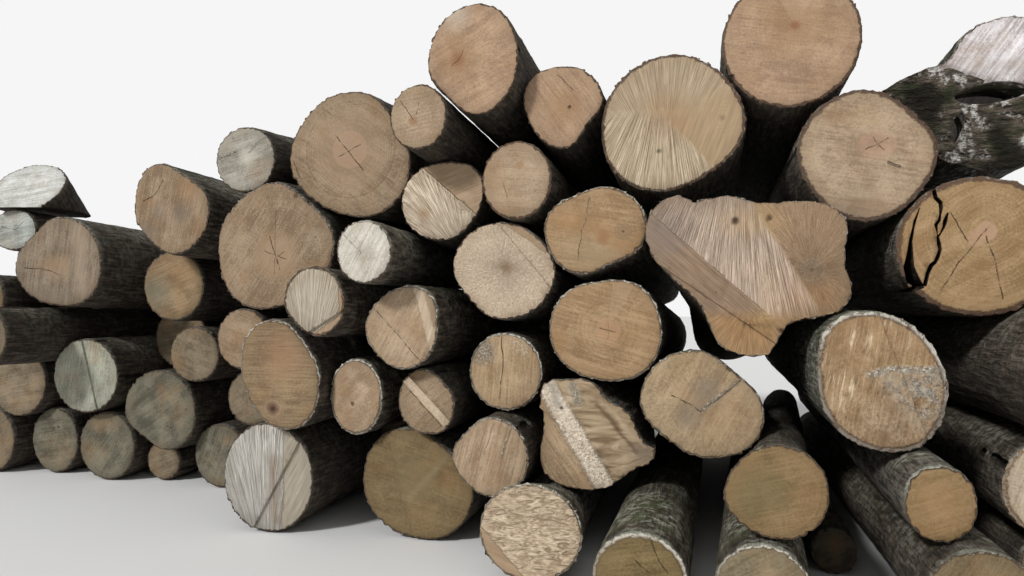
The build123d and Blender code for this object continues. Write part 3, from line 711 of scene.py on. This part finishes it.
end = SawnEnd("log_28", ((0.28, 0.195, 0.115), (0.54, 0.395, 0.245)), (85, 0.4), 0.2, 0.25, (0.0, 0.0))
end.crack((-0.02, 0.20), (-0.01, 0.05), (-0.03, -0.15), share=0.75)
end.paint(end.speckled(end.disc(-0.14, 0.11, 0.06, 0.8)), WHITE_FLECK, 0.9, 1.0)
end.paint(end.speckled(end.near([(0.05, 0.2), (0.12, 0.12)], 0.05, 0.9), 0.5, 0.6), WHITE_FLECK, 0.8)
end.dress(plain_bark, 0.014, pale_rim_and_highlight=0.9, relief=0.006)

end = SawnEnd("log_33", SAND, (75, 0.5), 0.2, 0.15, (0.0, 0.0))
end.bright_line((0.12, 0.16), (0.09, 0.08), (0.07, 0.0))
end.bright_line((0.02, 0.18), (-0.03, 0.02), width=0.006, share=0.4)
end.dress(dark_bark, pale_rim_and_highlight=0.7)

end = SawnEnd("log_24", ((0.165, 0.11, 0.062), (0.34, 0.25, 0.145)), (0, 0.45), 0.35, 0.2, (0.03, 0.09))
end.heart_mark(0.03, 0.09, 0.13, (0.33, 0.19, 0.11), 0.55, 0.9)
end.knot(-0.04, -0.20, 0.07, (0.38, 0.26, 0.17), 0.5)
end.heart_mark(-0.04, -0.20, 0.036, (0.13, 0.07, 0.045), 0.9, 0.3)
end.heart_mark(-0.04, -0.20, 0.016, CRACK_DARK, 1.0, 0.3)
end.dress(dark_bark, 0.017, (0.12, 0.075, 0.05), 0.8)

# The orange logs of the middle
# Sound beech with an orange heart, sawn square, and one log whose face is stained in bands.
# Moss and lichen sit on the bark along their tops.
AMBER = (0.26, 0.165, 0.085), (0.46, 0.315, 0.18)

end = SawnEnd("log_19", AMBER, (-10, 0.35), 0.35, 0.25, (0.04, -0.04))
end.heart_mark(0.0, -0.12, 0.16, (0.37, 0.29, 0.18), 0.5, 0.9, 1.4)
end.paint(end.near([(-0.16, 0.06), (-0.02, 0.03), (0.23, -0.10)], 0.10, 0.9), ORANGE, 0.55)
end.heart_mark(0.04, -0.04, 0.03, RED_HEART, 0.6, 0.9)
end.knot(0.15, -0.01, 0.045, (0.26, 0.18, 0.12), 0.6)
end.bright_line((-0.03, 0.18), (-0.06, 0.02), width=0.008, share=0.5)
end.crack((-0.07, 0.0), (-0.09, -0.16), width=0.004, share=0.4)
end.dress(mossy_bark, 0.016, (0.09, 0.05, 0.03), 0.7)

end = SawnEnd("log_29", AMBER, (-15, 0.4), 0.5, 0.3, (0.02, 0.0))
end.paint(end.both(end.half(0.02, 0.0, 60), end.half(0.02, 0.0, -95)), (0.46, 0.32, 0.20), 0.4)
end.heart_mark(0.02, 0.0, 0.066, (0.47, 0.29, 0.17), 0.55, 0.12)
end.crack((-0.02, 0.01), (0.06, -0.01), width=0.004, share=0.7)
end.crack((0.02, 0.04), (0.02, -0.04), width=0.004, share=0.7)
end.heart_mark(-0.26, -0.05, 0.05, ORANGE, 0.5, 0.6)
end.dress(mossy_bark, 0.014, (0.10, 0.055, 0.035), 0.9)

end = SawnEnd("log_31", ((0.28, 0.20, 0.12), (0.53, 0.40, 0.25)), (60, 0.25), 0.3, 0.4, (0.0, 0.0))
end.heart_mark(0.09, -0.05, 0.15, ORANGE_STAIN, 0.35, 0.9)
end.heart_mark(0.03, 0.06, 0.07, GREY_STAIN, 0.55, 0.9)
end.heart_mark(-0.06, -0.07, 0.06, GREY_STAIN, 0.5, 0.9)
end.crack((-0.15, 0.04), (-0.06, 0.0), (0.0, -0.04))
end.bright_line((0.0, -0.03), (0.08, 0.03), (0.19, 0.13), width=0.02, share=0.8)
end.crack((0.02, -0.02), (0.09, 0.03), (0.20, 0.13), share=0.5)
end.dress(dark_bark, 0.012, (0.16, 0.11, 0.06), 0.6)

# The logs on the ground
# The bottom row carries the rest, half in the pile's own shade: dull green and brown faces that
# have stood in the damp, with painted shade from the pile above darkening their tones.
# These tones are darkened partly as painted shade: the shade of the pile on its bottom row.
SHADE = (0.125, 0.095, 0.060), (0.27, 0.215, 0.145)
DAMP_AND_SHADE = (0.085, 0.078, 0.055), (0.215, 0.195, 0.14)
OLIVE = (0.13, 0.09, 0.042), (0.24, 0.175, 0.09)
RUSSET = (0.16, 0.11, 0.06), (0.34, 0.245, 0.145)

end = SawnEnd("log_34", OLIVE, (-15, 0.3), 0.5, 0.4, (-0.01, 0.04))
end.heart_mark(-0.01, 0.04, 0.12, (0.24, 0.19, 0.10), 0.35, 0.5)
end.paint(end.near([(-0.05, -0.08), (0.11, 0.08), (0.2, 0.2)], 0.03, 0.9), (0.30, 0.24, 0.14), 0.35)
end.dress(dark_bark)

end = SawnEnd("log_22", RUSSET, (20, 0.4), 0.3, 0.3, (0.0, 0.05), 1.5)
end.heart_mark(-0.16, -0.05, 0.12, (0.15, 0.15, 0.11), 0.6, 0.8)
end.heart_mark(0.08, 0.1, 0.12, ORANGE_STAIN, 0.35, 0.9)
end.dress(dark_bark, pale_rim_and_highlight=0.3, slot="orange_butt")

end = SawnEnd("log_23", UMBER, (-20, 0.2), 0.25, 0.2, (0.03, 0.0))
end.dress(dark_bark, 0.010)

end = SawnEnd("log_40", ((0.22, 0.22, 0.17), (0.46, 0.46, 0.37)), (80, 0.4), 0.3, 0.3, (0.05, 0.05))
end.dress(dark_bark)

end = SawnEnd("log_38", DAMP_AND_SHADE, (30, 0.3), 0.4, 0.3, (0.1, 0.0), 1.5)
end.knot(0.23, 0.02, 0.06, (0.22, 0.18, 0.13), 0.5)
end.dress(dark_bark)

end = SawnEnd("log_41", DAMP_AND_SHADE, (10, 0.3), 0.3, 0.3, (0.0, 0.0), 1.4)
end.heart_mark(-0.01, 0.09, 0.016, CRACK_DARK, 0.7)
end.heart_mark(0.04, 0.11, 0.014, CRACK_DARK, 0.7)
end.dress(dark_bark)

for log, tone, angle in (("log_36", SHADE, 30), ("log_37", DAMP_AND_SHADE, 70), ("log_39", SHADE, -20),
                         ("log_42", DAMP_AND_SHADE, 50), ("log_43", SHADE, 10), ("log_44", SHADE, 80)):
    end = SawnEnd(log, tone, (angle, 0.3), 0.4, 0.35, (0.02, 0.02), 1.4)
    end.dress(dark_bark, slot="orange_butt" if log == "log_43" else "beech_butt")

# The flared butt
# The foot of a beech with its root flares, the widest piece in the pile. The saw went round it:
# torn upright fibres across the middle, a smooth grey cut at its left, and orange wood below.
end = SawnEnd("log_30", SAND, (80, 0.4), 0.3, 0.5, (0.31, 0.02))
fibres = end.fan(-0.02, 0.95, 130, 3)
end.textured(ALL_OVER, ((0.23, 0.15, 0.10), (0.86, 0.68, 0.54)), fibres, (0.38, 0.60), 2.5)
end.textured(end.half(0.06, 0.31, -60, 0.012), ((0.22, 0.135, 0.07), (0.50, 0.34, 0.21)),
             end.fan(0.31, 0.02, 40, 7), (0.36, 0.64), 1.6)
end.paint(end.speckled(end.half(0.06, 0.31, -60), 0.52, 0.64), (0.66, 0.50, 0.35), 0.5)
end.heart_mark(0.36, 0.18, 0.16, (0.36, 0.24, 0.15), 0.4, 0.9)
end.heart_mark(0.30, -0.16, 0.14, (0.44, 0.24, 0.11), 0.45, 0.9)
end.heart_mark(0.02, 0.27, 0.12, (0.60, 0.40, 0.17), 0.4, 0.9, 1.8)
end.textured(end.half(0.11, -0.20, 138), ((0.175, 0.12, 0.08), (0.36, 0.25, 0.165)), end.lines(-42),
             (0.34, 0.66), 0.6)
end.textured(end.half(-2, -0.20, 180, 0.03), ((0.24, 0.135, 0.06), (0.48, 0.30, 0.15)),
             end.fan(0.03, -0.1, 26, 7), (0.34, 0.66), 1.0)
end.heart_mark(-0.40, 0.22, 0.12, (0.22, 0.175, 0.155), 0.6, 0.7)
end.knot(0.31, 0.02, 0.065, (0.50, 0.40, 0.30), 0.4)
end.knot(-0.14, -0.09, 0.04, (0.22, 0.14, 0.09), 0.5)
end.heart_mark(-0.05, 0.27, 0.018, CRACK_DARK, 0.9)
end.heart_mark(0.11, 0.28, 0.016, CRACK_DARK, 0.8)
end.paint(end.speckled(end.near([(0.0, -0.25), (0.12, -0.25)], 0.03, 0.9)), CRACK_DARK, 0.8)
gold = end.speckled(end.near([(0.1, -0.2), (0.1, 0.0)], 0.10, 0.9), 0.45, 0.6)
end.paint(gold, (0.75, 0.55, 0.25), 0.4)
end.dress(dark_bark, 0.007, (0.13, 0.08, 0.05), 0.6, 0.010)

# The lobed butt
# The fluted foot of another tree: a smooth orange cut at its left, a bright torn strip down the
# middle with splinters at its head, and wavy dark bands that follow the lobes at its right.
end = SawnEnd("log_32", ((0.24, 0.165, 0.095), (0.50, 0.365, 0.23)), (-55, 0.45), 0.3, 0.2, (0.05, 0.1))
waves = end.moved(end.face, turned=(0, math.radians(-50), 0), scale=(0.3, 1, 1))
waves = end.noise(waves, 16, 3, 0.5, 1.5)
end.textured(end.half(-0.10, 0.0, -55), ((0.17, 0.11, 0.06), (0.52, 0.40, 0.26)), waves,
             (0.35, 0.6), 1.5)
end.textured(end.near([(-0.25, 0.22), (-0.18, 0.10), (0.06, -0.30)], 0.11, 0.15),
             ((0.55, 0.43, 0.31), (1.0, 0.88, 0.72)), end.noise(end.face, 60, 3, 0.8), (0.38, 0.6), 3.0)
end.bright_line((-0.24, 0.26), (-0.21, 0.16), width=0.05, colour=WHITE_FLECK, share=0.9)
end.bright_line((-0.13, 0.26), (-0.10, 0.18), width=0.05, colour=WHITE_FLECK, share=0.8)
dark_band = [(0.0, 0.16), (0.08, 0.09), (0.14, 0.0), (0.22, -0.08)]
end.paint(end.near(dark_band, 0.02, 0.8), (0.10, 0.06, 0.035), 0.75)
pale_band = [(0.02, 0.19), (0.10, 0.12), (0.17, 0.02), (0.26, -0.05)]
end.paint(end.near(pale_band, 0.02, 0.8), (0.55, 0.43, 0.29), 0.6)
end.heart_mark(0.27, -0.1, 0.07, GREY_STAIN, 0.6, 0.8)
end.heart_mark(-0.19, 0.14, 0.010, CRACK_DARK, 0.9)
end.dress(plain_bark, 0.006, (0.12, 0.075, 0.045), 0.3, 0.008)

# The split log
# A large yellow butt whose bark side has split away in three dark gaps, with a pale pink disc of
# heartwood and long checks that run down from it. Its bark is thick and reddish.
SPLIT_DEPTH = 0.46

end = SawnEnd("log_14", ((0.27, 0.17, 0.08), (0.45, 0.305, 0.165)), (30, 0.25), 0.6, 0.3, (0.03, 0.07))
end.heart_mark(0.03, 0.07, 0.045, (0.52, 0.33, 0.22), 0.7, 0.2)
end.heart_mark(-0.02, 0.035, 0.035, (0.50, 0.31, 0.20), 0.6, 0.3)
end.crack((-0.12, 0.16), (-0.08, 0.08), (-0.05, 0.02), width=0.005, share=0.7)
end.crack((0.03, 0.08), (-0.03, 0.0), (-0.08, -0.07), (-0.17, -0.22), share=0.8)
end.crack((0.03, 0.04), (0.07, -0.08), (0.10, -0.25), share=0.8)
end.dress(mossy_bark, 0.026, (0.11, 0.048, 0.024), 0.2, damage=SPLIT_DEPTH)

# The rotten stump
# An old butt on top of the pile at the right: bleached pinkish white above, and rotted hollow
# and broken away below, where moss and white fungus have taken hold.
STUMP_DAMAGE = 0.40         # how far back from its tip the stump has rotted
stump_bark = bark("stump_bark", (0.10, 0.085, 0.065), (0.46, 0.46, 0.43), 0.9, 1.0, 1.0, 1.8)


def broken_wood(name):
    """Crumbling brown wood with white fungus and moss on its ledges, and near-black patches of painted
    shade for its hollows.
    """
    s = Shader(name)
    grain = s.add("Attribute", out=1, attribute_name="grain")
    along = s.moved(grain, turned=(0, math.radians(35), 0), scale=(0.25, 0.6, 1))
    long_fibres = s.noise(along, 42, 4, 0.7)
    lumps = s.noise(grain, 6, 4, 0.65)
    spots = s.noise(grain, 19, 4, 0.7)
    colour = s.blend(s.ranged(long_fibres, 0.36, 0.64), (0.018, 0.014, 0.011), (0.20, 0.165, 0.125))
    colour = s.blend(s.ranged(lumps, 0.50, 0.60, 0.0, 0.75), colour, (0.05, 0.065, 0.028))
    fungus = s.both(s.ranged(lumps, 0.47, 0.40), s.ranged(spots, 0.46, 0.56))
    colour = s.blend(fungus, colour, (0.80, 0.77, 0.72))
    # Near-black patches: painted shade standing in for hollows in the rotten wood.
    painted_hollow_shade = s.ranged(s.noise(grain, 3.5, 2), 0.52, 0.60, 0.0, 0.8)
    colour = s.blend(painted_hollow_shade, colour, (0.015, 0.012, 0.010))
    return s.finish(colour, s.math("MULTIPLY_ADD", long_fibres, 0.8, lumps), 0.05, 0.95)


end = SawnEnd("log_15", ((0.44, 0.39, 0.38), (0.92, 0.88, 0.88)), (55, 0.6), 0.2, 0.25, (0.1, 0.1), 1.2)
end.paint(end.speckled(end.half(-2, 0.10, 180, 0.10), 0.4, 0.6), (0.16, 0.11, 0.08), 0.8)
end.dress(stump_bark, 0.010, (0.12, 0.09, 0.07), 0.6, 0.008,
          broken_wood("broken_wood"), damage=STUMP_DAMAGE, slot="white_butt")

# The mossy butt
# A thick log at the right with a cushion of moss and lichen over its bark. A white torn line
# crosses its face, and below it the wood is grey, granular and rotting.
end = SawnEnd("log_45", AMBER, (80, 0.5), 0.2, 0.3, (-0.01, 0.04))
rays = end.lines(80, 60, 0.12)
rough = end.ranged(end.clouds, 0.44, 0.60)
end.paint(end.ranged(end.lines(75, 40, 0.3), 0.44, 0.32), (0.15, 0.09, 0.05), 0.7)
end.heart_mark(0.05, -0.22, 0.14, (0.14, 0.10, 0.07), 0.4, 0.9)
end.paint(end.both(end.both(end.ranged(rays, 0.52, 0.62), rough), end.half(0.0, 0.0, 60, 0.08)),
          (0.82, 0.68, 0.48), 0.75)
end.paint(end.both(end.speckled(end.half(0.0, -0.1, 180, 0.15)), rough), (0.70, 0.56, 0.40), 0.5)
granular = end.both(end.half(0.0, 0.05, 180, 0.02), end.half(0.03, 0.0, -50, 0.07))
granular = end.both(granular, end.ranged(end.noise(end.face, 9, 4, 0.7), 0.40, 0.50))
grains = end.noise(end.face, 48, 4, 0.85)
end.textured(granular, ((0.13, 0.11, 0.09), (0.74, 0.66, 0.54)), grains, (0.42, 0.62), 3.0)
end.paint(end.both(granular, end.ranged(end.noise(end.face, 12, 3), 0.48, 0.56)), AMBER[1], 0.7)
end.bright_line((0.02, 0.0), (0.07, -0.05), (0.13, -0.12), width=0.014, colour=WHITE_FLECK)
end.bright_line((-0.05, 0.03), (0.02, 0.06), (0.12, 0.055), (0.27, 0.06), width=0.03,
                colour=WHITE_FLECK, share=1.0)
cushion = bark("moss_cushion", (0.20, 0.20, 0.15), (0.52, 0.54, 0.44), 0.85, 1.0, 1.0, 2.4)
end.dress(cushion, 0.026, (0.13, 0.07, 0.045), 1.0, 0.008)

# The logs at the lower right
# Orange butts low in the pile, some standing well forward, with furrowed grey bark that the saw
# left ragged and white round the ends.
RUST = (0.17, 0.11, 0.05), (0.32, 0.215, 0.11)

# This end's darker tone is partly painted shade, from the logs above it.
end = SawnEnd("log_46", RUST, (15, 0.35), 0.4, 0.3, (0.0, 0.0), 1.4)
end.heart_mark(-0.08, 0.0, 0.12, (0.15, 0.125, 0.06), 0.6, 0.9)
end.dress(dark_bark, 0.010, slot="orange_butt")

end = SawnEnd("log_47", ((0.19, 0.12, 0.05), (0.35, 0.235, 0.125)), (20, 0.3), 0.35, 0.3, (0.0, 0.02))
end.heart_mark(0.0, 0.02, 0.06, ORANGE, 0.4, 0.9)
end.dress(smooth_bark, 0.009, pale_rim_and_highlight=0.2, slot="orange_butt")

end = SawnEnd("log_48", ((0.38, 0.29, 0.20), (0.66, 0.56, 0.42)), (70, 0.35), 0.3, 0.3, (0.05, 0.0))
end.dress(plain_bark, 0.024, (0.30, 0.18, 0.09), 0.8)

end = SawnEnd("log_50", ((0.12, 0.085, 0.035), (0.26, 0.185, 0.09)), (10, 0.3), 0.3, 0.2, (0.0, 0.0))
end.crack((-0.02, 0.09), (0.01, 0.06), (0.04, 0.04), width=0.005, share=0.7)
end.crack((0.05, 0.17), (0.08, 0.10), (0.12, 0.04), width=0.005, share=0.7)
end.dress(mossy_bark, 0.020, (0.20, 0.14, 0.08), 1.0, slot="orange_butt")

end = SawnEnd("log_51", ((0.14, 0.11, 0.065), (0.30, 0.25, 0.16)), (30, 0.3), 0.3, 0.2, (0.0, 0.0))
end.dress(mossy_bark, 0.014, (0.20, 0.15, 0.10), 1.0, slot="orange_butt")

end = SawnEnd("log_52", ((0.12, 0.085, 0.045), (0.25, 0.19, 0.11)), (60, 0.3), 0.3, 0.3, (0.0, 0.0))
end.dress(plain_bark, pale_rim_and_highlight=0.4, slot="orange_butt")

end = SawnEnd("log_53", AMBER, (40, 0.3), 0.4, 0.3, (0.02, 0.0))
end.dress(plain_bark, 0.014, slot="orange_butt")

# The logs behind
# Plain logs that the rest of the pile hides or that stand outside the view, with the same bark
# and square sawn ends. A short one lies on the ground by itself, before a long one.
for log in ("log_54", "log_55", "log_56", "log_57", "log_58", "log_60"):
    end = SawnEnd(log, SHADE, (13 * int(log[-2:]) % 180, 0.35), 0.4, 0.35, (0.01, 0.01), 1.2)
    end.dress(dark_bark)

# Its end is painted near black as painted shade: it shows only in the dark gaps between the logs in
# front.
end = SawnEnd("log_59", ((0.03, 0.026, 0.02), (0.08, 0.068, 0.05)), (30, 0.3), 0.4, 0.3)
end.dress(dark_bark)

# The floor
# A plain pale floor, level and very wide, that carries the stack and shows its shadow.
FLOOR_PALE, FLOOR_HALF = (0.80, 0.80, 0.79), 60
floor_mesh = bpy.data.meshes.new("floor")
bm = bmesh.new()
bmesh.ops.create_grid(bm, x_segments=1, y_segments=1, size=FLOOR_HALF)
bm.to_mesh(floor_mesh)
bm.free()
floor = bpy.data.objects.new("floor", floor_mesh)
bpy.context.scene.collection.objects.link(floor)
floor_shader = Shader("pale_floor")
floor_shader.surface.inputs["Base Color"].default_value = (*FLOOR_PALE, 1)
floor_shader.surface.inputs["Roughness"].default_value = 0.9
floor_mesh.materials.append(floor_shader.material)

# The light
# A large soft lamp from the upper left, before the stack, and an even pale sky that is seen
# brighter than it shines.
SKY_LIGHT, SKY_SEEN = 0.46, 0.92
LAMP_STRENGTH, LAMP_SOFTNESS = 2.35, math.radians(8)
LAMP_HEADING = Vector((0.55, 1.0, -0.75))
world = bpy.data.worlds.new("sky")
bpy.context.scene.world = world
world.use_nodes = True
sky = world.node_tree
path = sky.nodes.new("ShaderNodeLightPath")
seen = sky.nodes.new("ShaderNodeMath")
seen.operation = "MAXIMUM"
sky.links.new(path.outputs["Is Camera Ray"], seen.inputs[0])
sky.links.new(path.outputs["Is Glossy Ray"], seen.inputs[1])
strength = sky.nodes.new("ShaderNodeMapRange")
sky.links.new(seen.outputs[0], strength.inputs["Value"])
strength.inputs["To Min"].default_value = SKY_LIGHT
strength.inputs["To Max"].default_value = SKY_SEEN
sky.links.new(strength.outputs[0], sky.nodes["Background"].inputs["Strength"])
sky.nodes["Background"].inputs["Color"].default_value = (1, 1, 1, 1)
lamp_data = bpy.data.lights.new("window", "SUN")
lamp_data.energy = LAMP_STRENGTH
lamp_data.angle = LAMP_SOFTNESS
lamp = bpy.data.objects.new("window", lamp_data)
lamp.rotation_euler = LAMP_HEADING.to_track_quat("-Z", "Y").to_euler()
bpy.context.scene.collection.objects.link(lamp)

# The camera
# At a standing height, level, turned to the left, with the frame's middle a little off.
EYE_HEIGHT = 1.4
EYE_FROM_LOG_57 = Vector((4.1, -5.1, 0))       # from the middle of that log's front end
TURNED = math.radians(14.4)
FOCAL, SENSOR = 27.07, 36
ABOVE_MIDDLE, FRAME_WIDTH = 12, 1024            # pixels of the photograph's frame
low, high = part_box("log_57")
camera_data = bpy.data.cameras.new("camera")
camera_data.lens, camera_data.sensor_width = FOCAL, SENSOR
camera_data.shift_y = ABOVE_MIDDLE / FRAME_WIDTH
camera = bpy.data.objects.new("camera", camera_data)
bpy.context.scene.collection.objects.link(camera)
camera.location = Vector(((low.x + high.x) / 2, low.y, EYE_HEIGHT)) + EYE_FROM_LOG_57
camera.rotation_euler = (math.pi / 2, 0, TURNED)
bpy.context.scene.camera = camera

bpy.context.scene.view_settings.view_transform = "Standard"
